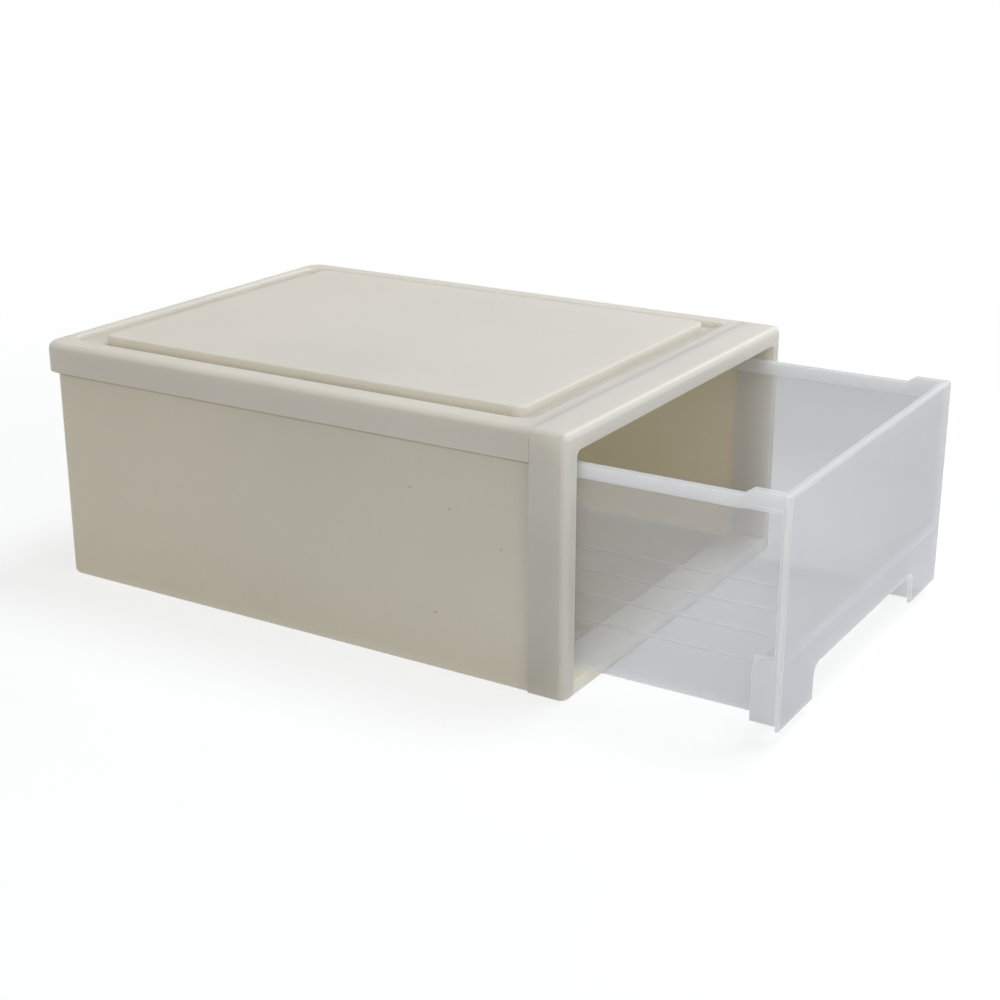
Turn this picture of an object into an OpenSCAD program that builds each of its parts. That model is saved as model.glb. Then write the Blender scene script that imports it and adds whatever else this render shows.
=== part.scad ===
// Stackable drawer box: an open-fronted case made of a tub, a top cover and a front frame,
// with one translucent drawer that slides in it. The drawer is drawn part-way open.
// X runs across the box, Y from front to back, Z up. The origin is the middle of the case's base.

/* [Case] */
// Width over the front frame and the cover's skirt
case_w = 298; // [240:1:360]
// Depth from the frame's front face to the back of the skirt
case_d = 400; // [340:1:460]
// Height from the base to the top of the rim
case_h = 162; // [140:0.5:220]
// Wall thickness of the three beige mouldings
wall = 2.2; // [1.8:0.1:2.6]
// Rounding of the case's outer edges
edge_r = 5; // [4:0.1:7]
// Rounding of the edges that stand on the ground
base_r = 2; // [1:0.1:2.2]
// Plan radius of the cover's two back corners
corner_r = 13; // [9:0.5:20]
// Clearance between mouldings that plug together
fit = 0.2; // [0.1:0.05:0.3]

/* [Tub] */
// How far the tub's walls stand inside the skirt's outer face
tub_inset = 1.8; // [1.8:0.1:3]
// How far the tub's back wall stands inside the skirt's outer face
tub_back_inset = 7; // [4:0.5:8]
// Width of the floor's low border, which rests on the ground or on the box below
border_w = 20.7; // [16:0.1:28]
// Depth of the underside recess that takes the raised panel of the box below
nest_depth = 3.5; // [3:0.1:5]
// Width of each rail on the floor
rail_w = 8; // [6:0.5:12]
// Distance of each rail from the middle
rail_x = 57; // [45:0.5:85]
// How far the tub's front edge reaches into the frame
tongue_d = 14; // [8:0.5:18]

/* [Front frame] */
// Depth of the frame
frame_d = 24.8; // [22:0.1:34]
// Width of each side post
post_w = 11; // [9.6:0.1:13]
// Height of the bottom bar
bar_h = 9.4; // [9:0.1:13]
// Height of the head over the opening
head_h = 11.5; // [9:0.1:14]
// Radius of the opening's two upper corners
mouth_r = 4; // [2:0.5:7]
// How far the opening's lining reaches behind the frame
lining_out = 2.3; // [1:0.1:4]
// Width of the slit between the frame and the skirt, on the sides only
slit = 0.6; // [0.4:0.1:1.2]

/* [Top cover] */
// Height of the skirt
skirt_h = 19.5; // [16:0.5:26]
// Thickness of the skirt
skirt_t = 1.7; // [1.4:0.1:1.8]
// Width of the rim along the sides
rim_w = 17; // [14:0.5:22]
// Width of the rim along the back
rim_back_w = 10; // [8:0.5:16]
// Depth of the groove inside the rim
groove_depth = 3.9; // [3:0.1:5]
// Width of the groove along the sides
groove_w = 10.1; // [7:0.1:14]
// Width of the groove along the back
groove_back_w = 21; // [14:0.5:28]
// Distance of the groove's floor from the case's front
groove_front = 45.2; // [42:0.1:50]
// Length of the ramp in front of the groove
ramp_d = 12.2; // [8:0.1:15]
// Width of the slope along the groove's upper edge
groove_lip = 1.4; // [0.5:0.1:2]
// Distance of the raised panel from the case's front
panel_front = 45.2; // [45:0.1:60]
// How far the raised panel stands over the rim
panel_rise = 2.4; // [1.5:0.1:2.8]
// Plan radius of the raised panel's corners
panel_r = 7; // [5:0.5:12]
// Rounding of the raised panel's top edge
panel_edge_r = 1.6; // [0.8:0.1:2.2]

/* [Drawer] */
// How far the drawer's front stands before the frame
pull = 126; // [40:0.5:220]
// Length of the drawer, front face to back flange
drawer_l = 390; // [330:1:393]
// Gap between the drawer's flange and the post on each side
side_gap = 6.1; // [3:0.1:8]
// Gap between the drawer's front and the head
top_gap = 5.6; // [2:0.1:7]
// Clearance under the drawer's runners and ribs
run_gap = 0.3; // [0.3:0.05:0.5]
// Wall thickness of the drawer
drawer_wall = 2; // [1.6:0.1:2.4]
// Height of the runners and ribs under the floor
runner_h = 1.3; // [1:0.1:3]
// Width of each runner and rib
runner_w = 3; // [2:0.5:6]
// Distance of the drawer's two inner ribs from the middle
rib_x = 19; // [12:1:30]
// Radius of the drawer's long bottom edges
bilge_r = 9; // [5:0.5:14]
// Plan radius of the drawer's back corners
bin_corner_r = 9; // [5:0.5:16]
// How far the flange stands out from the wall
flange_out = 3; // [2.2:0.1:4]
// Thickness of the flange
flange_t = 1.7; // [1.4:0.1:2]
// Height of the flange's skirt
flange_h = 8; // [6:0.5:12]
// How much higher the front's top is than the side flanges
flange_step = 4; // [2:0.1:6]
// Height of the skirt beside the front, where the flange is raised
raised_h = 9; // [7:0.1:12]
// Length of the raised stretch behind the front face
raised_d = 23; // [20:0.5:30]
// Length of the slope from the raised stretch to the flange
slope_d = 6; // [4:0.5:10]

/* [Drawer front] */
// Thickness of the front plate
plate_t = 2.6; // [2:0.1:3.2]
// Depth of the rim that borders the front plate
front_rim_d = 5; // [4:0.1:6]
// Rounding of the front plate's outer edges
front_edge_r = 2; // [1:0.1:2.4]
// How far the feet hang below the top of the bottom bar
foot_lap = 2.6; // [2:0.1:6]
// Height of the feet's boxes over the bottom bar
foot_gap = 0.7; // [0.5:0.1:2]
// Width of each foot
foot_w = 47.8; // [36:0.1:60]
// Height of the finger lip over the base
lip_z = 29; // [24:0.1:36]
// Radius where each foot meets the lip
lip_r = 7.5; // [4:0.5:10]
// Depth of the finger recess and the feet behind the front face
recess_d = 18.1; // [16:0.1:22]
// Height of the finger recess over the base, over its ceiling
recess_z = 48.5; // [42:0.5:60]
// Radius of the recess's upper back edge
recess_r = 9; // [5:0.5:11]

/* [Drawer stops] */
// Distance of the stops from the drawer's back
stop_back = 60; // [20:1:100]
// Length of each stop
stop_l = 8; // [5:0.5:12]
// Width of each stop
stop_w = 12; // [8:1:20]
// Distance of each stop from the middle
stop_x = 104; // [90:1:110]
// Height left between each stop and the tub's floor
stop_gap = 1.8; // [1:0.1:2.5]

/* [Hidden] */
$fn = 48;
hull_fn = 32;
over = 1;
half_w = case_w / 2;
front_y = -case_d / 2;
back_y = case_d / 2;

// The frame, from its front face backwards
frame_back_y = front_y + frame_d;
lining_y = frame_back_y + lining_out;
mouth_w = case_w - 2 * post_w;
mouth_top = case_h - head_h;
channel_y = front_y + wall;
seam_y = frame_back_y + slit;

// The tub
tub_w = case_w - 2 * tub_inset;
tub_r = corner_r - tub_inset;
tub_top = case_h - wall - fit;
tub_back_y = back_y - tub_back_inset;
tongue_y = frame_back_y - tongue_d;
tongue_w = case_w - 2 * (wall + fit);
tongue_bottom = wall + fit;
floor_top = nest_depth + wall;
rail_y = seam_y + wall;

// The cover
plate_top = case_h - groove_depth;
rim_in_w = case_w - 2 * rim_w;
panel_w = rim_in_w - 2 * groove_w;
groove_y = front_y + groove_front;
groove_back_y = back_y - rim_back_w;
panel_y = front_y + panel_front;
panel_back_y = groove_back_y - groove_back_w;
panel_top = case_h + panel_rise;
tab_d = 8;

// The recess under the tub, which goes over the raised panel of the box below
nest_w = tub_w - 2 * border_w;
nest_front_y = panel_y - (nest_w - panel_w);
nest_back_y = tub_back_y - border_w;

// The drawer, whose own Y starts at its front face
drawer_y = front_y - pull;
flange_w = mouth_w - 2 * side_gap;
bin_w = flange_w - 2 * flange_out;
bin_in_w = bin_w - 2 * drawer_wall;
bin_back_y = drawer_l - flange_out;
bin_bottom = bar_h + run_gap + runner_h;
bin_floor = bin_bottom + drawer_wall;
front_top = mouth_top - top_gap;
flange_top = front_top - flange_step;
foot_bottom = bar_h - foot_lap;
foot_box_bottom = bar_h + foot_gap;
lip_half = flange_w / 2 - foot_w;
stop_bottom = floor_top + stop_gap;

// A rectangle with rounded corners, from x0, y0 to x1, y1
module soft_rect(x0, y0, x1, y1, r) {
    translate([x0 + r, y0]) square([x1 - x0 - 2 * r, y1 - y0]);
    translate([x0, y0 + r]) square([x1 - x0, y1 - y0 - 2 * r]);
    for (x = [x0 + r, x1 - r], y = [y0 + r, y1 - r]) translate([x, y]) circle(r);
}

// The same, with square corners along its lower edge
module arch_rect(x0, y0, x1, y1, r) {
    soft_rect(x0, y0, x1, y1, r);
    translate([x0, y0]) square([x1 - x0, 2 * r]);
}

// An outline in X and Z, run back along Y from y0 to y1
module run_back(y0, y1) {
    translate([0, y1, 0]) rotate([90, 0, 0]) linear_extrude(y1 - y0) children();
}

// An outline in Y and Z, run across from -w/2 to w/2
module run_across(w) {
    translate([-w / 2, 0, 0]) rotate([90, 0, 90]) linear_extrude(w) children();
}

// A level plan outline between two heights
module run_up(z0, z1) {
    translate([0, 0, z0]) linear_extrude(z1 - z0) children();
}

// A flat ring with a round section: the rounded rim of a disc of radius r_out
module round_rim(r_out, r_edge) {
    rotate_extrude($fn = hull_fn) translate([r_out - r_edge, 0]) circle(r_edge, $fn = hull_fn);
}

module case_tub() {
    color("#d3cfc4") {
        difference() {
            union() {
                tub_body();
                tub_tongue();
            }
            tub_hollow();
            run_up(plate_top - wall - fit, case_h) groove_plan(wall + fit);
            run_up(-over, nest_depth)
                soft_rect(-nest_w / 2, nest_front_y, nest_w / 2, nest_back_y, tub_r);
        }
        for (side = [-1, 1]) translate([side * rail_x - rail_w / 2, rail_y, nest_depth + fit])
            cube([rail_w, nest_back_y - rail_y, bar_h - nest_depth - fit]);
    }
}

// Outer shape of the tub behind the frame, with its lower edges rounded
module tub_body() {
    hull() {
        for (side = [-1, 1]) {
            translate([side * (tub_w / 2 - tub_r), tub_back_y - tub_r, 0]) {
                translate([0, 0, base_r]) round_rim(tub_r, base_r);
                translate([0, 0, base_r]) cylinder(r = tub_r, h = tub_top - base_r, $fn = hull_fn);
            }
            translate([side * (tub_w / 2 - base_r), seam_y, base_r])
                rotate([-90, 0, 0]) cylinder(r = base_r, h = over, $fn = hull_fn);
        }
        translate([-tub_w / 2, seam_y, base_r]) cube([tub_w, over, tub_top - base_r]);
    }
}

// The tub's front edge, which plugs into the back of the frame
module tub_tongue() {
    run_back(tongue_y, seam_y + over)
        soft_rect(-tongue_w / 2, tongue_bottom, tongue_w / 2, tub_top, edge_r - wall - fit);
}

// Everything inside the tub: above its low border, its raised floor and its front sill
module tub_hollow() {
    inner_w = tub_w - 2 * wall;
    difference() {
        run_up(wall, tub_top + over) {
            soft_rect(-inner_w / 2, front_y, inner_w / 2, tub_back_y - wall, tub_r - wall);
        }
        run_up(0, floor_top) soft_rect(
            -nest_w / 2 - wall, nest_front_y - wall, nest_w / 2 + wall, nest_back_y + wall, tub_r + wall);
        translate([-inner_w / 2 - over, front_y - over, 0])
            cube([inner_w + 2 * over, rail_y + wall - front_y + over, tongue_bottom + wall]);
    }
}

module top_cover() {
    color("#d8d5cc") {
        difference() {
            union() {
                cover_body();
                raised_panel();
            }
            groove();
            cover_hollow();
            skirt_slit();
        }
        cover_tab();
    }
}

// Outer shape of the cover, with a round edge along its sides and back
module cover_body() {
    side_z = case_h - edge_r;
    hull() {
        for (side = [-1, 1]) {
            translate([side * (half_w - corner_r), back_y - corner_r, 0]) {
                translate([0, 0, side_z]) round_rim(corner_r, edge_r);
                translate([0, 0, case_h - skirt_h])
                    cylinder(r = corner_r, h = skirt_h - edge_r, $fn = hull_fn);
            }
            translate([side * (half_w - edge_r), frame_back_y, side_z])
                rotate([-90, 0, 0]) cylinder(r = edge_r, h = over, $fn = hull_fn);
        }
        translate([-half_w, frame_back_y, case_h - skirt_h]) cube([case_w, over, skirt_h - edge_r]);
    }
}

// The slit in front of the skirt. Above it the cover meets the frame
module skirt_slit() {
    translate([-half_w - over, frame_back_y - over, case_h - skirt_h - over])
        cube([case_w + 2 * over, slit + over, skirt_h - edge_r + over]);
}

// The panel that keys into the box above, with a soft top edge
module raised_panel() {
    hull() for (side = [-1, 1], y = [panel_y + panel_r, panel_back_y - panel_r])
        translate([side * (panel_w / 2 - panel_r), y, 0]) {
            translate([0, 0, panel_top - panel_edge_r]) round_rim(panel_r, panel_edge_r);
            translate([0, 0, plate_top - wall / 2])
                cylinder(r = panel_r, h = panel_top - panel_edge_r - plate_top + wall / 2, $fn = hull_fn);
        }
}

// The groove around the raised panel, with a ramp up to the front frame
module groove() {
    difference() {
        union() {
            run_up(plate_top, case_h + over) groove_plan(0);
            hull() {
                run_up(case_h - groove_lip, case_h) groove_plan(0);
                run_up(case_h, case_h + over) groove_plan(groove_lip);
            }
        }
        run_across(case_w) polygon([
            [groove_y - ramp_d - groove_lip - over, plate_top - over],
            [groove_y + over, plate_top - over],
            [groove_y, plate_top],
            [groove_y - ramp_d, case_h],
            [groove_y - ramp_d - groove_lip - over, case_h],
        ]);
        run_up(plate_top - over, panel_top + over)
            soft_rect(-panel_w / 2, panel_y, panel_w / 2, panel_back_y, panel_r);
    }
}

// Plan of the groove's outer edge, widened by a margin
module groove_plan(margin) {
    soft_rect(-rim_in_w / 2 - margin, groove_y - ramp_d - margin, rim_in_w / 2 + margin,
        groove_back_y + margin, panel_r + groove_w / 2 + margin);
}

// The underside of the cover follows its top, one wall thickness below
module cover_hollow() {
    inner_w = case_w - 2 * skirt_t;
    pocket_w = panel_w - 2 * wall;
    difference() {
        run_up(case_h - skirt_h - over, case_h - wall)
            soft_rect(-inner_w / 2, front_y, inner_w / 2, back_y - skirt_t, corner_r - skirt_t);
        run_up(plate_top - wall, case_h) groove_plan(wall);
    }
    run_up(plate_top - wall - over, panel_top - wall) soft_rect(
        -pocket_w / 2, panel_y + wall, pocket_w / 2, panel_back_y - wall, panel_r - wall);
}

// The tab along the cover's front edge, which plugs into the frame's head
module cover_tab() {
    tab_top = case_h - wall - fit;
    translate([-rim_in_w / 2, seam_y - tab_d, tab_top - wall]) cube([rim_in_w, tab_d + wall, wall]);
    translate([-rim_in_w / 2, seam_y, tab_top - wall]) cube([rim_in_w, wall, 2 * wall]);
}

module front_frame() {
    color("#dad7cf") difference() {
        union() {
            frame_body();
            run_back(frame_back_y - over, lining_y) arch_rect(
                -mouth_w / 2 - wall, bar_h - wall, mouth_w / 2 + wall, mouth_top + wall, mouth_r + wall);
        }
        run_back(front_y - over, lining_y + over)
            arch_rect(-mouth_w / 2, bar_h, mouth_w / 2, mouth_top, mouth_r);
        frame_channel();
    }
}

// Outer shape of the frame: round front and upper edges, a tighter round at the base
module frame_body() {
    upper_z = case_h - edge_r;
    hull() for (side = [-1, 1]) {
        translate([side * (half_w - edge_r), front_y + edge_r, upper_z]) {
            sphere(edge_r, $fn = hull_fn);
            rotate([-90, 0, 0]) cylinder(r = edge_r, h = frame_d - edge_r, $fn = hull_fn);
        }
        translate([side * (half_w - edge_r), front_y + edge_r, base_r]) round_rim(edge_r, base_r);
        translate([side * (half_w - base_r), frame_back_y - over, base_r])
            rotate([-90, 0, 0]) cylinder(r = base_r, h = over, $fn = hull_fn);
    }
}

// The channel in the back of the frame, which takes the front edges of the tub and the cover
module frame_channel() {
    run_back(channel_y, lining_y + over) difference() {
        soft_rect(-half_w + wall, wall, half_w - wall, case_h - wall, edge_r - wall);
        arch_rect(
            -mouth_w / 2 - wall, bar_h - wall, mouth_w / 2 + wall, mouth_top + wall, mouth_r + wall);
    }
}

module drawer() {
    color("#dfe3e8", 0.45) translate([0, drawer_y, 0]) {
        difference() {
            union() {
                intersection() {
                    bin_body(bin_w, bin_bottom, front_edge_r, bin_back_y, bilge_r, bin_corner_r);
                    under_rim(0, front_edge_r);
                }
                flange();
                front_plate();
                feet_body(foot_box_bottom);
            }
            difference() {
                bin_body(bin_in_w, bin_floor, plate_t, bin_back_y - drawer_wall,
                    bilge_r - drawer_wall, bin_corner_r - drawer_wall);
                feet_body(0);
                front_rim();
            }
            recess_hollow(2 * lip_half);
            foot_pockets();
            lip_cut();
        }
        for (x = [-rail_x, -rib_x, rib_x, rail_x]) runner(x);
        for (side = [-1, 1]) stop(side);
    }
}

// A trough with rounded long edges and back corners, open at the top
module bin_body(w, z0, y0, y1, r_edge, r_corner) {
    intersection() {
        run_back(y0, y1) {
            soft_rect(-w / 2, z0, w / 2, z0 + 3 * r_edge, r_edge);
            translate([-w / 2, z0 + r_edge]) square([w, front_top + over - z0 - r_edge]);
        }
        run_up(z0 - over, front_top + 2 * over) {
            soft_rect(-w / 2, y0, w / 2, y1, r_corner);
            translate([-w / 2, y0]) square([w, 2 * r_corner]);
        }
    }
}

// Everything under the flange's top, seen from the side: raised behind the front, then a slope
module under_rim(drop, start) {
    run_across(flange_w) polygon([
        [start, 0],
        [start, front_top - drop],
        [raised_d, front_top - drop],
        [raised_d + slope_d, flange_top - drop],
        [drawer_l + over, flange_top - drop],
        [drawer_l + over, 0],
    ]);
}

// The folded flange around the drawer's sides and back
module flange() {
    difference() {
        intersection() {
            under_rim(0, front_edge_r);
            run_up(0, front_top) flange_plan(0);
        }
        run_across(flange_w + over) polygon([
            [-over, -over],
            [-over, front_top - raised_h],
            [raised_d, front_top - raised_h],
            [raised_d + slope_d, flange_top - flange_h],
            [drawer_l + over, flange_top - flange_h],
            [drawer_l + over, -over],
        ]);
        intersection() {
            under_rim(flange_t, plate_t);
            run_up(0, front_top) difference() {
                flange_plan(flange_t);
                soft_rect(-bin_w / 2, -drawer_l, bin_w / 2, bin_back_y, bin_corner_r);
            }
        }
    }
}

// The flange's plan outline, set in by a margin
module flange_plan(margin) {
    r = bin_corner_r + flange_out - margin;
    x = flange_w / 2 - margin;
    soft_rect(-x, 0, x, drawer_l - margin, r);
    translate([-x, 0]) square([2 * x, 2 * r]);
}

// The front plate, with its outer edges rounded towards the front and no rim behind its feet
module front_plate() {
    difference() {
        hull() for (turn = [0:22.5:90]) {
            inset = front_edge_r * (1 - sin(turn));
            y = front_edge_r * (1 - cos(turn));
            translate([-flange_w / 2 + inset, y, foot_bottom + inset])
                cube([flange_w - 2 * inset, front_rim_d - y, front_top - foot_bottom - 2 * inset]);
        }
        translate([-flange_w / 2 - over, plate_t, 0])
            cube([flange_w + 2 * over, front_rim_d, foot_box_bottom]);
    }
}

// The space kept solid as the rim at the back of the front plate's upper edge
module front_rim() {
    translate([-flange_w / 2, 0, front_top - plate_t]) cube([flange_w, front_rim_d, plate_t + 2 * over]);
}

// The boxes of the feet and the finger recess between them, as one block with a round back edge
module feet_body(z0) {
    run_across(flange_w) {
        translate([front_edge_r, z0]) square([recess_d - front_edge_r, recess_z - recess_r - z0]);
        translate([front_edge_r, z0]) square([recess_d - recess_r - front_edge_r, recess_z - z0]);
        translate([recess_d - recess_r, recess_z - recess_r]) circle(recess_r);
    }
}

// The hollow inside each foot, open below
module foot_pockets() {
    pocket_w = foot_w - 2 * drawer_wall;
    for (side = [-1, 1]) translate([side * (lip_half + foot_w / 2), 0, 0]) recess_hollow(pocket_w);
}

// A stretch of the space behind the front plate, one wall inside the block of the feet
module recess_hollow(w) {
    r = recess_r - drawer_wall;
    inner_y = recess_d - drawer_wall;
    inner_z = recess_z - drawer_wall;
    run_across(w) {
        translate([plate_t, -over]) square([inner_y - plate_t, inner_z - r + over]);
        translate([plate_t, -over]) square([inner_y - r - plate_t, inner_z + over]);
        translate([inner_y - r, inner_z - r]) circle(r);
    }
}

// The gap between the feet, under the lip
module lip_cut() {
    run_back(-over, front_rim_d + over)
        arch_rect(-lip_half, -lip_z, lip_half, lip_z, lip_r);
}

// One runner under the floor. The outer two ride on the tub's rails, and all ride on the bottom bar
module runner(x) {
    translate([x - runner_w / 2, recess_d, bar_h + run_gap])
        cube([runner_w, bin_back_y - bilge_r - recess_d, runner_h + drawer_wall / 2]);
}

// One stop under the floor, which meets the bottom bar when the drawer is pulled right out
module stop(side) {
    translate([side * stop_x - stop_w / 2, drawer_l - stop_back, stop_bottom])
        cube([stop_w, stop_l, bin_bottom - stop_bottom + drawer_wall / 2]);
}

case_tub();
top_cover();
front_frame();
drawer();
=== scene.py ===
"""Looks of the stackable drawer box: materials, soft edges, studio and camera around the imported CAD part."""
import math

import bpy
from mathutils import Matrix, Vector


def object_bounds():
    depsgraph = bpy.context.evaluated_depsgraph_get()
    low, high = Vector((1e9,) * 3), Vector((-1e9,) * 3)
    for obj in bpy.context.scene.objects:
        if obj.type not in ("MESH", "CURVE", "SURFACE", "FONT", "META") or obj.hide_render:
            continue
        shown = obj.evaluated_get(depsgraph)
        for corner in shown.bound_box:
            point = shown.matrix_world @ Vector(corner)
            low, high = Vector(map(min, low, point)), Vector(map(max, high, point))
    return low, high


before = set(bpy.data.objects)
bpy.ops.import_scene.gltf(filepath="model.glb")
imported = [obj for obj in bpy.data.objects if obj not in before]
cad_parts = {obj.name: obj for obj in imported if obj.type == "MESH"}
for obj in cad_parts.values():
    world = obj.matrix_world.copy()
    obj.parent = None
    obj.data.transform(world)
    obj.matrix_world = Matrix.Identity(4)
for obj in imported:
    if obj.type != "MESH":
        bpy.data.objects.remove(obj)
cad_low, cad_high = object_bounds()

MM = 0.001
WHITE = (1.0, 1.0, 1.0, 1.0)

# Camera: where it stands in the part's frame, and how it is turned
CAMERA_PLACE = Vector((-0.9549, -0.6507, 0.4515))
CAMERA_YAW = math.radians(31.52)
CAMERA_PITCH = math.radians(19.49)
CAMERA_LENS = 63.44
SENSOR = 36.0
CLIP_START = 0.05

# Studio
ROOM = 12.0
AMBIENT = 0.14
AMBIENT_COLOR = (0.97, 0.985, 1.0, 1.0)
FLOOR_COLOR = (0.95, 0.95, 0.95, 1.0)
# How much of the floor shows as plain white: least near the box, so that its shadow stays
FLOOR_GLOW = 0.76
GLOW_NEAR = 0.30
GLOW_FAR = 0.95
# How the floor and backdrop show through the drawer: their strength, the share of the floor's glow that is
# left near the box, the distance at which all of it is back, and the floor's colour there, painted darker as
# shade
BEHIND_PLASTIC = 0.52
SHADE_SHOWN = 0.30
SHADE_FAR = 0.42
FLOOR_PAINTED_SHADE_BEHIND = (0.65, 0.65, 0.64, 1.0)

# Name, place, target, size, power and colour of each lamp
LAMPS = (
    ("overhead_light", (0.7, -0.5, 2.1), (0.0, -0.1, 0.0), 0.9, 35.5, (0.90, 0.955, 1.0)),
    ("front_light", (-0.3, -2.5, 1.3), (0.0, -0.1, 0.05), 1.2, 27.0, (0.90, 0.96, 1.0)),
    ("key_light", (-2.3, -0.9, 1.3), (0.0, 0.0, 0.05), 1.1, 17.0, (1.0, 0.98, 0.88)),
    ("back_light", (-0.4, 2.3, 1.2), (0.0, 0.0, 0.05), 1.2, 7.0, (0.96, 0.98, 1.0)),
    ("right_light", (2.2, -0.4, 1.5), (0.0, 0.0, 0.1), 0.9, 9.0, (1.0, 0.95, 0.92)),
)

# Case plastic, a set for each moulding: its tone and the tone of its clouds, the light it lets through
# and how much of it
TUB_BEIGE = (0.80, 0.825, 0.835, 1.0)
TUB_SHADE = (0.77, 0.795, 0.805, 1.0)
TUB_GLOW = (0.87, 0.79, 0.60, 1.0)
TUB_PASSES = 0.47
COVER_BEIGE = (0.80, 0.787, 0.782, 1.0)
COVER_SHADE = (0.77, 0.757, 0.752, 1.0)
COVER_GLOW = (0.88, 0.84, 0.735, 1.0)
COVER_PASSES = 0.50
FRAME_BEIGE = (0.745, 0.73, 0.70, 1.0)
FRAME_SHADE = (0.715, 0.70, 0.67, 1.0)
FRAME_GLOW = (0.85, 0.82, 0.74, 1.0)
FRAME_PASSES = 0.46
# Texture of the case: how large each pattern is, the tone of its grain, and its relief
CLOUD_SCALE = 9.0
GRAIN_SCALE = 900.0
RIPPLE_SCALE = 26.0
GLOSS_SCALE = 60.0
GRAIN_TONE = (0.52, 0.50, 0.44, 1.0)
GRAIN_SHARE = 0.08
GRAIN_DEPTH = 0.05 * MM
GRAIN_STRENGTH = 0.5
RIPPLE_DEPTH = 0.3 * MM
RIPPLE_STRENGTH = 0.2
# The part of a noise's range that is used, for clouds and for finer patterns
CLOUD_RANGE = (0.35, 0.65)
NOISE_RANGE = (0.3, 0.7)
# Gloss of the case
CASE_ROUGHNESS = (0.28, 0.34)
CASE_SPECULAR = 0.4
COAT_WEIGHT = 0.25
COAT_ROUGHNESS = 0.12
# Width of the step between two tones
STEP_W = 0.5 * MM

# Drawer plastic: its tones, and how milky it is when seen flat, along its outline, in its front, in its
# floor and at its edges
DRAWER_TONE = (0.845, 0.835, 0.855, 1.0)
DRAWER_SHADE = (0.815, 0.805, 0.825, 1.0)
DRAWER_EDGE = (0.97, 0.975, 0.985, 1.0)
DRAWER_PASSES = 0.5
HAZE_FACING = 0.20
HAZE_EDGE = 0.29
OUTLINE_BLEND = 0.4
FRONT_FROST = 0.11
FLOOR_CLEAR = 0.06
EDGE_HAZE = 0.55
EDGE_RADIUS = 1.2 * MM
EDGE_TURN = (0.98, 0.75)
CLEAR_TINT = (0.97, 0.975, 0.98, 1.0)
# Its texture and gloss
DRAWER_CLOUD_SCALE = 8.0
DRAWER_GRAIN_SCALE = 1100.0
DRAWER_GRAIN_DEPTH = 0.01 * MM
DRAWER_GRAIN_STRENGTH = 0.2
DRAWER_ROUGHNESS = (0.29, 0.37)
DRAWER_IOR = 1.49
# Where its thick parts and its floor lie, in the part's frame
FRONT_Y = cad_low[1]
drawer_corners = [Vector(corner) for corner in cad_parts["drawer"].bound_box]
FRONT_TOP = max(corner.z for corner in drawer_corners)
FRONT_SIDE = max(corner.x for corner in drawer_corners)
PLATE_D = 3.0 * MM
PLATE_FACING = 0.5
BORDER_D = 5.0 * MM
BORDER_W = 1.2 * MM
FLANGE_Z = 132.5 * MM
FOOT_D = 18.5 * MM
FOOT_Z = 49.0 * MM
FLOOR_Z = 13.5 * MM
CLEAR_TO_Z = 75.0 * MM
RIBS_Z = 10.3 * MM
CEILING_Z = 46.5 * MM
CEILING_H = 1.5 * MM
CEILING_FADE = 9.0 * MM
CEILING_SIDE = 30.0 * MM
# How much of the sharp edges' whiteness the thick parts have, and how much of that some of them have
THICK_SHARE = 0.48
PLATE_SHARE = 0.6
# Painted light: a whiter, milkier band on the front plate over the recess ceiling
CEILING_PAINTED_LIGHT_SHARE = 0.4
RIBS_SHARE = 0.5

# The tub's colour is painted paler towards its foot and darker towards the skirt: painted light and shade
TUB_PAINTED_LIGHT_AT_FOOT = 1.08
TUB_PAINTED_SHADE_AT_SEAM = 0.89
# The tub's inside, up to the middle of its walls, is painted a warmer, darker shade, and a painted shadow lies
# on its wall under the cover's skirt
TUB_INSIDE_PAINTED_SHADE = (0.80, 0.71, 0.53, 1.0)
TUB_MID_X = 146.1 * MM
TUB_MID_Y = 191.9 * MM
TUB_MID_R = 10.1 * MM
TUB_FLOOR_Z = 4.8 * MM
INSIDE_SHADE_SHARE = 0.8
SEAM_Z = 142.5 * MM
SEAM_H = 1.3 * MM
SEAM_SHADOW_SHARE = 0.6
# Colour of the dust in the marks, and of the painted shadow under the skirt
DUST_AND_SEAM_SHADOW = (0.22, 0.19, 0.14, 1.0)
# The frame's colour is painted darker low down and paler towards its head, and painted lighter in the lining
# of its mouth: painted light and shade
FRAME_LOW_Z = 80.0 * MM
FRAME_HIGH_Z = 155.0 * MM
FRAME_PAINTED_SHADE_LOW = 0.93
FRAME_PAINTED_LIGHT_HIGH = 1.07
FRAME_LINING_PAINTED_LIGHT = (0.915, 0.885, 0.825, 1.0)
MOUTH_X = 138.2 * MM
MOUTH_Z = 150.6 * MM
# Small dark marks on the tub's left wall, in the part's frame
MARKS = (
    (-0.1472, -0.0930, 0.1128),
    (-0.1472, -0.1209, 0.1041),
    (-0.1472, -0.1561, 0.0861),
    (-0.1472, -0.1103, 0.0368),
)
MARK_CORE = 0.5 * MM
MARK_EDGE = 1.0 * MM
MARK_SHARE = 0.8

# Rounding of each node's sharp edges
SOFT_EDGES = {"case_tub": 0.3 * MM, "top_cover": 0.15 * MM, "front_frame": 0.15 * MM, "drawer": 0.3 * MM}
WELD_DISTANCE = 0.002 * MM
SHARP_ANGLE = math.radians(40)
BEVEL_SEGMENTS = 2
LARGE_FACES_WEIGHT = 100


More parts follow.
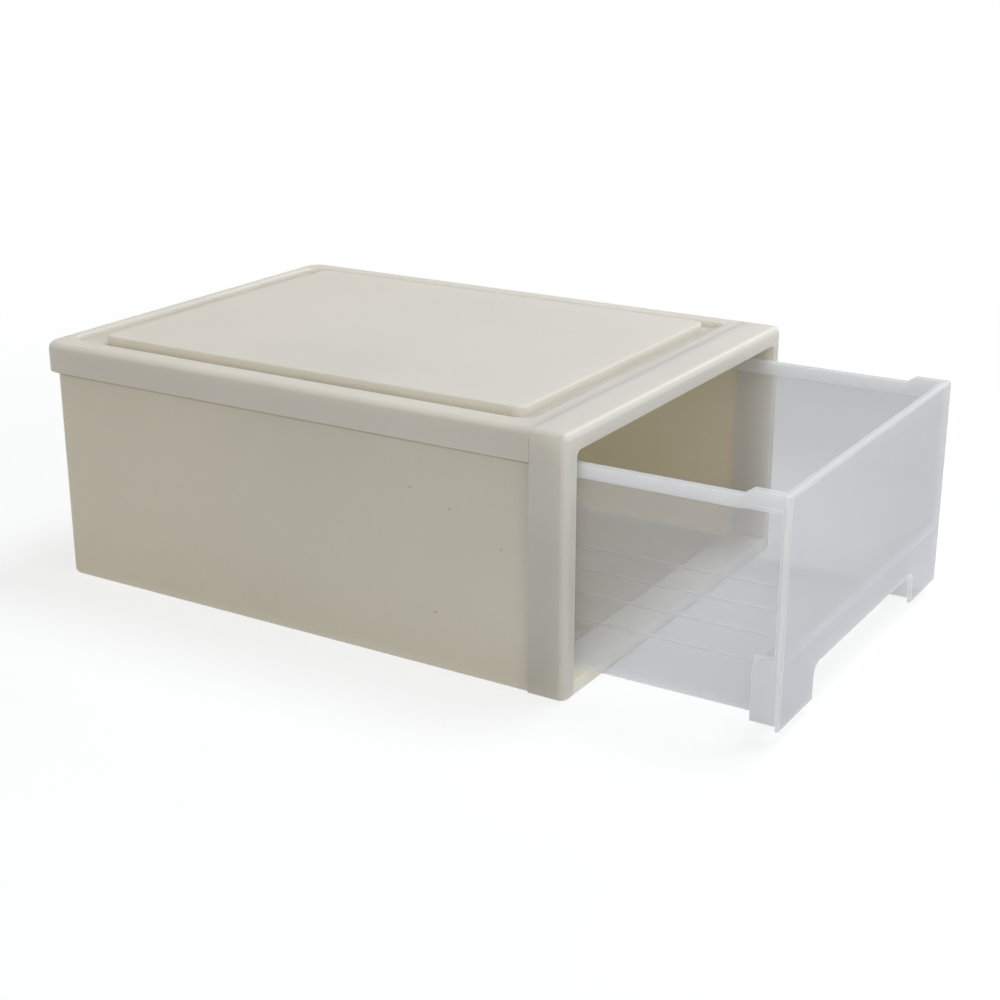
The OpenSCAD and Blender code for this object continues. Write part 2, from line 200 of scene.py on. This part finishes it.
class Nodes:
    """A small helper that builds one node tree. Its values are plain ones or another node's output."""

    def __init__(self, tree):
        self.tree = tree
        tree.nodes.clear()

    def feed(self, socket, value):
        if isinstance(value, bpy.types.NodeSocket):
            self.tree.links.new(value, socket)
        else:
            socket.default_value = value

    def set(self, node, name, value):
        self.feed(node.inputs[name], value)

    def add(self, kind, **inputs):
        node = self.tree.nodes.new(kind)
        for name, value in inputs.items():
            self.set(node, name.replace("_", " "), value)
        return node

    def math(self, operation, a, b=0.0, clamp=False):
        node = self.tree.nodes.new("ShaderNodeMath")
        node.operation = operation
        node.use_clamp = clamp
        self.feed(node.inputs[0], a)
        self.feed(node.inputs[1], b)
        return node.outputs[0]

    def times(self, first, *others):
        """The product of several values."""
        for other in others:
            first = self.math("MULTIPLY", first, other)
        return first

    def most(self, first, *others):
        """The highest of several values."""
        for other in others:
            first = self.math("MAXIMUM", first, other)
        return first

    def remap(self, value, low, high, to_low, to_high):
        node = self.add("ShaderNodeMapRange", Value=value, From_Min=low, From_Max=high,
                        To_Min=to_low, To_Max=to_high)
        return node.outputs["Result"]

    def vector(self, operation, a, b=(0.0, 0.0, 0.0)):
        node = self.tree.nodes.new("ShaderNodeVectorMath")
        node.operation = operation
        self.feed(node.inputs[0], a)
        self.feed(node.inputs[1], b)
        single = operation in ("DOT_PRODUCT", "DISTANCE", "LENGTH")
        return node.outputs["Value" if single else "Vector"]

    def split(self, vector):
        return self.add("ShaderNodeSeparateXYZ", Vector=vector).outputs

    def noise(self, place, scale, detail=2.0):
        return self.add("ShaderNodeTexNoise", Vector=place, Scale=scale, Detail=detail).outputs["Fac"]

    def bump(self, height, distance, strength, normal=None):
        node = self.add("ShaderNodeBump", Height=height, Distance=distance, Strength=strength)
        if normal is not None:
            self.set(node, "Normal", normal)
        return node.outputs["Normal"]

    def blend(self, factor, a, b, mode="MIX"):
        """Blends two colours."""
        node = self.tree.nodes.new("ShaderNodeMix")
        node.data_type = "RGBA"
        node.blend_type = mode
        for name, value in (("Factor", factor), ("A", a), ("B", b)):
            self.feed([s for s in node.inputs if s.name == name and s.enabled][0], value)
        return [s for s in node.outputs if s.enabled][0]

    def mix(self, factor, first, second):
        """Mixes two shaders."""
        node = self.add("ShaderNodeMixShader", Fac=factor)
        self.feed(node.inputs[1], first)
        self.feed(node.inputs[2], second)
        return node.outputs[0]

    def finish(self, shader):
        self.add("ShaderNodeOutputMaterial", Surface=shader)


def new_material(name):
    material = bpy.data.materials.new(name)
    material.use_nodes = True
    return material, Nodes(material.node_tree)


def step_below(n, value, edge):
    """1 where a coordinate is under the edge, 0 a step over it."""
    return n.remap(value, edge + STEP_W, edge, 0.0, 1.0)


def step_above(n, value, edge):
    """1 where a coordinate is over the edge, 0 a step under it."""
    return n.remap(value, edge - STEP_W, edge, 0.0, 1.0)


def tub_painted_shades_and_marks(n, place, color):
    """The tub's painted shades and marks: painted light at its foot, painted warm shade inside, dust in small
    marks, and a painted shadow under the skirt.
    """
    x, y, z = n.split(place)
    past_x = n.most(n.math("SUBTRACT", n.math("ABSOLUTE", x), TUB_MID_X - TUB_MID_R), 0.0)
    past_y = n.most(n.math("SUBTRACT", y, TUB_MID_Y - TUB_MID_R), 0.0)
    past = n.add("ShaderNodeCombineXYZ", X=past_x, Y=past_y).outputs[0]
    inside = n.times(step_below(n, n.vector("LENGTH", past), TUB_MID_R), step_above(n, z, TUB_FLOOR_Z))
    # Painted shadow: a dark band on the tub's wall just under the cover's skirt
    seam_shadow = n.math("SUBTRACT", step_above(n, z, SEAM_Z - SEAM_H), inside, clamp=True)
    # Painted light and shade: the colour is paler towards the foot and darker towards the skirt
    color = n.blend(1.0, color, n.remap(z, 0.0, SEAM_Z, TUB_PAINTED_LIGHT_AT_FOOT, TUB_PAINTED_SHADE_AT_SEAM), "MULTIPLY")
    # Painted shade: the inside is coloured warmer and darker than the outside
    color = n.blend(n.times(inside, INSIDE_SHADE_SHARE), color, TUB_INSIDE_PAINTED_SHADE)
    for mark in MARKS:
        spot = n.remap(n.vector("DISTANCE", place, mark), MARK_CORE, MARK_EDGE, MARK_SHARE, 0.0)
        color = n.blend(spot, color, DUST_AND_SEAM_SHADOW)
    return n.blend(n.times(seam_shadow, SEAM_SHADOW_SHARE), color, DUST_AND_SEAM_SHADOW)


def frame_painted_light(n, place, color):
    """The frame's painted light and shade: darker low down, paler towards its head, and lighter in the lining
    of its mouth.
    """
    x, _, z = n.split(place)
    # Painted light and shade: darker low on the frame, paler towards its head
    shade = n.remap(z, FRAME_LOW_Z, FRAME_HIGH_Z, FRAME_PAINTED_SHADE_LOW, FRAME_PAINTED_LIGHT_HIGH)
    color = n.blend(1.0, color, shade, "MULTIPLY")
    # Painted light: the lining of the mouth is coloured paler
    lining = n.times(step_below(n, n.math("ABSOLUTE", x), MOUTH_X), step_below(n, z, MOUTH_Z))
    return n.blend(lining, color, FRAME_LINING_PAINTED_LIGHT)


def case_plastic(name, tone, shade, glow, passes, painted_shades=None):
    """Beige polypropylene that lets a little light through, with a fine eroded texture and flow clouds."""
    material, n = new_material(name)
    place = n.add("ShaderNodeTexCoord").outputs["Object"]
    clouds = n.noise(place, CLOUD_SCALE, 3.0)
    grain = n.noise(place, GRAIN_SCALE)
    ripple = n.noise(place, RIPPLE_SCALE, 1.0)
    color = n.blend(n.remap(clouds, *CLOUD_RANGE, 0.0, 1.0), tone, shade)
    color = n.blend(n.remap(grain, *NOISE_RANGE, 0.0, GRAIN_SHARE), color, GRAIN_TONE)
    # A moulding's painted light and shade, with the tub's dust marks
    if painted_shades is not None:
        color = painted_shades(n, place, color)
    rippled = n.bump(ripple, RIPPLE_DEPTH, RIPPLE_STRENGTH)
    surface = n.add("ShaderNodeBsdfPrincipled", Base_Color=color, Specular_IOR_Level=CASE_SPECULAR,
                    Coat_Weight=COAT_WEIGHT, Coat_Roughness=COAT_ROUGHNESS,
                    Roughness=n.remap(n.noise(place, GLOSS_SCALE), *NOISE_RANGE, *CASE_ROUGHNESS),
                    Normal=n.bump(grain, GRAIN_DEPTH, GRAIN_STRENGTH, rippled))
    passed = n.add("ShaderNodeBsdfTranslucent", Color=glow)
    n.finish(n.mix(passes, surface.outputs[0], passed.outputs[0]))
    return material


def thick_parts(n, place, normal):
    """How thick the drawer's plastic looks: 1 at the flange, less at the border, ribs and over the feet, with
    a painted light band on the front over the recess ceiling.
    """
    x, y, z = n.split(place)
    side = n.math("ABSOLUTE", x)
    facing_y = n.math("ABSOLUTE", n.split(normal)[1])
    plate = n.times(step_below(n, y, FRONT_Y + PLATE_D), n.math("GREATER_THAN", facing_y, PLATE_FACING))
    off_plate = n.math("SUBTRACT", 1.0, plate)
    border = n.times(
        n.most(step_above(n, z, FRONT_TOP - BORDER_W), step_above(n, side, FRONT_SIDE - BORDER_W)),
        step_below(n, y, FRONT_Y + BORDER_D),
        n.remap(plate, 0.0, 1.0, 1.0, PLATE_SHARE))
    flange = n.times(step_above(n, z, FLANGE_Z), off_plate)
    feet = n.times(step_below(n, y, FRONT_Y + FOOT_D), n.math("LESS_THAN", z, FOOT_Z), off_plate)
    ribs = n.times(step_below(n, z, RIBS_Z), n.math("GREATER_THAN", y, FRONT_Y + FOOT_D), RIBS_SHARE)
    # Painted light: a whiter, milkier band on the front plate just over the recess ceiling
    ceiling_light = n.times(
        step_above(n, z, CEILING_Z),
        n.remap(z, CEILING_Z + CEILING_H, CEILING_Z + CEILING_FADE, CEILING_PAINTED_LIGHT_SHARE, 0.0),
        n.times(plate, n.remap(side, FRONT_SIDE - CEILING_SIDE, FRONT_SIDE - BORDER_D, 1.0, 0.0)))
    return n.most(border, flange, feet, ribs, ceiling_light)


def sharp_edges(n):
    """1 along the edges of a solid, from the turn of a rounded normal."""
    rounded = n.add("ShaderNodeBevel", Radius=EDGE_RADIUS).outputs["Normal"]
    plain = n.add("ShaderNodeNewGeometry").outputs["Normal"]
    return n.remap(n.vector("DOT_PRODUCT", rounded, plain), *EDGE_TURN, 0.0, 1.0)


def drawer_plastic(name):
    """Translucent polypropylene: see-through and milky, clearer in the floor and whiter where it is thick, and
    painted whiter over the recess ceiling.
    """
    material, n = new_material(name)
    place = n.add("ShaderNodeTexCoord").outputs["Object"]
    normal = n.add("ShaderNodeNewGeometry").outputs["Normal"]
    facing = n.add("ShaderNodeLayerWeight", Blend=OUTLINE_BLEND).outputs["Facing"]
    clouds = n.noise(place, DRAWER_CLOUD_SCALE)
    grain = n.noise(place, DRAWER_GRAIN_SCALE, 1.0)
    _, y, z = n.split(place)
    front = n.times(step_below(n, y, FRONT_Y + PLATE_D), FRONT_FROST)
    floor = n.times(n.remap(z, FLOOR_Z, CLEAR_TO_Z, 1.0, 0.0), n.math("GREATER_THAN", y, FRONT_Y + FOOT_D))
    edge = n.most(sharp_edges(n), n.times(thick_parts(n, place, normal), THICK_SHARE))
    haze = n.math("ADD", n.remap(facing, 0.0, 1.0, HAZE_FACING, HAZE_EDGE), front)
    haze = n.math("SUBTRACT", haze, n.times(floor, FLOOR_CLEAR))
    haze = n.math("ADD", haze, n.times(edge, EDGE_HAZE), clamp=True)
    tone = n.blend(edge, n.blend(clouds, DRAWER_TONE, DRAWER_SHADE), DRAWER_EDGE)
    surface = n.add("ShaderNodeBsdfPrincipled", Base_Color=tone, IOR=DRAWER_IOR,
                    Roughness=n.remap(clouds, 0.0, 1.0, *DRAWER_ROUGHNESS),
                    Normal=n.bump(grain, DRAWER_GRAIN_DEPTH, DRAWER_GRAIN_STRENGTH))
    passed = n.add("ShaderNodeBsdfTranslucent", Color=tone)
    body = n.mix(DRAWER_PASSES, surface.outputs[0], passed.outputs[0])
    clear = n.add("ShaderNodeBsdfTransparent", Color=CLEAR_TINT)
    n.finish(n.mix(haze, clear.outputs[0], body))
    return material


def seen_ray(n):
    """1 for rays that show the background: from the camera, in a reflection or through glass."""
    path = n.add("ShaderNodeLightPath").outputs
    return n.most(path["Is Camera Ray"], path["Is Glossy Ray"], path["Is Transmission Ray"])


def behind_plastic(n):
    """1 for what is seen through the drawer, 0 for what is seen straight."""
    return n.math("MINIMUM", n.add("ShaderNodeLightPath").outputs["Transparent Depth"], 1.0)


def seen_white(n):
    """The backdrop's strength: white where it is seen straight, less where it is seen through the drawer."""
    return n.remap(behind_plastic(n), 0.0, 1.0, 1.0, BEHIND_PLASTIC)


def floor_material():
    """A pale studio floor that keeps a soft shadow and otherwise shows white, painted darker where it is seen
    through the drawer.
    """
    material, n = new_material("studio_floor")
    behind = n.times(behind_plastic(n), seen_ray(n))
    # Painted shade: the floor's colour is darker where it is seen through the drawer
    matt = n.add("ShaderNodeBsdfDiffuse", Color=n.blend(behind, FLOOR_COLOR, FLOOR_PAINTED_SHADE_BEHIND))
    glow = n.add("ShaderNodeEmission", Color=WHITE, Strength=seen_white(n))
    away = n.vector("LENGTH", n.add("ShaderNodeTexCoord").outputs["Object"])
    shade_shown = n.times(behind, n.remap(away, GLOW_NEAR, SHADE_FAR, 1.0 - SHADE_SHOWN, 0.0))
    glowing = n.times(n.remap(away, GLOW_NEAR, GLOW_FAR, FLOOR_GLOW, 1.0),
                      n.math("SUBTRACT", 1.0, shade_shown))
    n.finish(n.mix(n.times(seen_ray(n), glowing), matt.outputs[0], glow.outputs[0]))
    return material


def make_floor():
    mesh = bpy.data.meshes.new("floor")
    corners = [(-ROOM, -ROOM, 0), (ROOM, -ROOM, 0), (ROOM, ROOM, 0), (-ROOM, ROOM, 0)]
    mesh.from_pydata(corners, [], [(0, 1, 2, 3)])
    mesh.materials.append(floor_material())
    floor = bpy.data.objects.new("floor", mesh)
    bpy.context.scene.collection.objects.link(floor)


def make_world():
    """Plain soft light all round, and a white backdrop for the rays that show it."""
    world = bpy.data.worlds.new("studio")
    bpy.context.scene.world = world
    world.use_nodes = True
    n = Nodes(world.node_tree)
    seen = seen_ray(n)
    strength = n.math("ADD", AMBIENT, n.times(seen, n.math("SUBTRACT", seen_white(n), AMBIENT)))
    light = n.add("ShaderNodeBackground", Color=n.blend(seen, AMBIENT_COLOR, WHITE), Strength=strength)
    n.add("ShaderNodeOutputWorld", Surface=light.outputs[0])


def softbox(name, place, target, size, power, color):
    lamp = bpy.data.lights.new(name, "AREA")
    lamp.color = color
    lamp.shape = "SQUARE"
    lamp.size = size
    lamp.energy = power
    box = bpy.data.objects.new(name, lamp)
    box.location = place
    box.rotation_mode = "QUATERNION"
    box.rotation_quaternion = (Vector(target) - Vector(place)).to_track_quat("-Z", "Y")
    bpy.context.scene.collection.objects.link(box)


def make_camera():
    data = bpy.data.cameras.new("camera")
    data.lens = CAMERA_LENS
    data.sensor_width = SENSOR
    data.clip_start = CLIP_START
    data.clip_end = 4 * ROOM
    camera = bpy.data.objects.new("camera", data)
    look = Vector((
        math.cos(CAMERA_YAW) * math.cos(CAMERA_PITCH),
        math.sin(CAMERA_YAW) * math.cos(CAMERA_PITCH),
        -math.sin(CAMERA_PITCH),
    ))
    camera.location = CAMERA_PLACE
    camera.rotation_mode = "QUATERNION"
    camera.rotation_quaternion = look.to_track_quat("-Z", "Y")
    bpy.context.scene.collection.objects.link(camera)
    bpy.context.scene.camera = camera


def soften(node, width):
    """Rounds a carried-over node's sharp edges a little, as a moulding's are."""
    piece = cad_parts[node]
    weld = piece.modifiers.new("weld", "WELD")
    weld.merge_threshold = WELD_DISTANCE
    bevel = piece.modifiers.new("soft_edges", "BEVEL")
    bevel.width = width
    bevel.segments = BEVEL_SEGMENTS
    bevel.limit_method = "ANGLE"
    bevel.angle_limit = SHARP_ANGLE
    normals = piece.modifiers.new("face_normals", "WEIGHTED_NORMAL")
    normals.weight = LARGE_FACES_WEIGHT


def dress(node, material):
    """Gives a carried-over node its material."""
    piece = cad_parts[node]
    piece.data.materials.clear()
    piece.data.materials.append(material)


bpy.context.scene.view_settings.view_transform = "Standard"
make_camera()
make_floor()
make_world()
for lamp in LAMPS:
    softbox(*lamp)

dress("case_tub", case_plastic("tub_plastic", TUB_BEIGE, TUB_SHADE, TUB_GLOW, TUB_PASSES, tub_painted_shades_and_marks))
dress("top_cover", case_plastic("cover_plastic", COVER_BEIGE, COVER_SHADE, COVER_GLOW, COVER_PASSES))
dress("front_frame", case_plastic("frame_plastic", FRAME_BEIGE, FRAME_SHADE, FRAME_GLOW, FRAME_PASSES,
                                  frame_painted_light))
dress("drawer", drawer_plastic("drawer_plastic"))
for node, width in SOFT_EDGES.items():
    soften(node, width)
